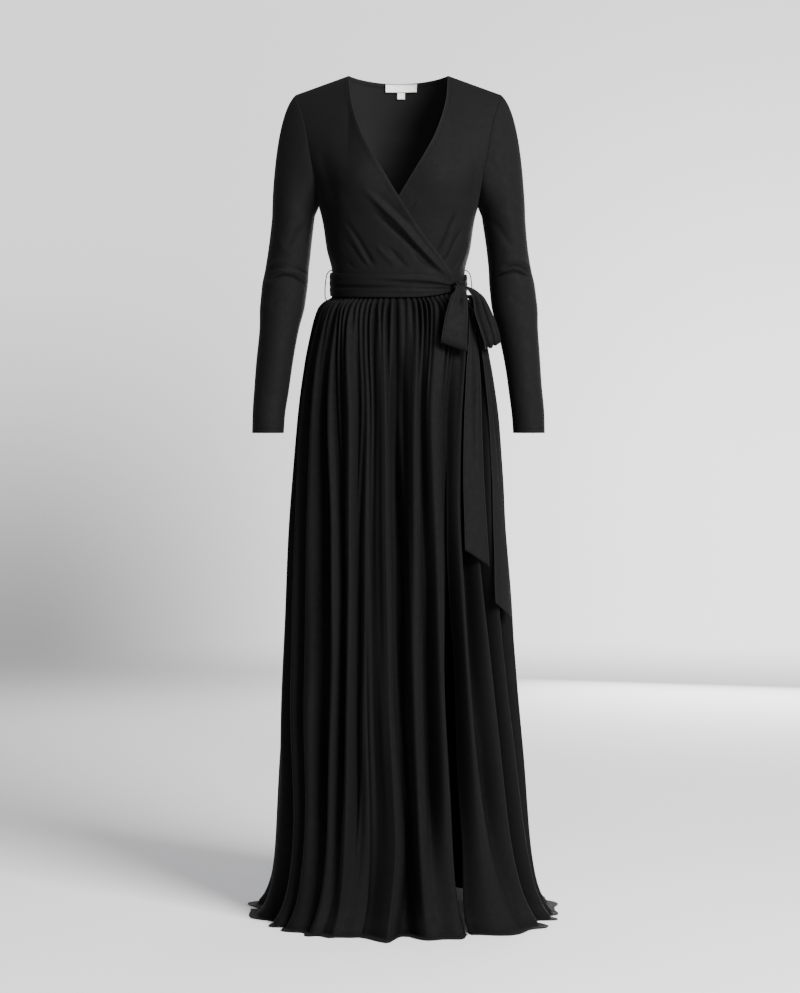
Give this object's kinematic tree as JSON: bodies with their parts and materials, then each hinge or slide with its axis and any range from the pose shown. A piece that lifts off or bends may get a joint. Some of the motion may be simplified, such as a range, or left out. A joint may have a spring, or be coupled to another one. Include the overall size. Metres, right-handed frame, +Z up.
{
  "type": "wrap dress",
  "caption": "Long-sleeved floor-length wrap dress with a V neck, gathered skirt, front slit and a tied belt, hollow in its worn pose.",
  "frame": {"origin": "midway between the two high shoulder points, where the wearer's shoulders hold the dress", "axes": "+Z up along the dress, +X to the wearer's left, the front faces -Y"},
  "size_m": [0.5505, 0.512, 1.48],
  "materials": {
    "black_jersey": "fine matte jersey knit with a soft sheen",
    "black_jersey_belt": "the same jersey, folded double",
    "black_thread": "twisted thread chain",
    "white_label_tape": "woven satin tape, bare"
  },
  "bodies": {
    "root": {"bodice_back": "black_jersey", "bodice_front_right": "black_jersey", "bodice_front_left": "black_jersey", "sleeve_right": "black_jersey", "sleeve_left": "black_jersey", "skirt_back": "black_jersey", "skirt_front_right": "black_jersey", "skirt_front_left": "black_jersey", "sash_band": "black_jersey_belt", "sash_knot": "black_jersey_belt", "sash_loop_front": "black_jersey_belt", "sash_loop_back": "black_jersey_belt", "sash_tail_front": "black_jersey_belt", "sash_tail_back": "black_jersey_belt", "belt_carrier_right": "black_thread", "belt_carrier_left": "black_thread", "neck_label": "white_label_tape", "size_label": "white_label_tape"}
  },
  "joints": []
}
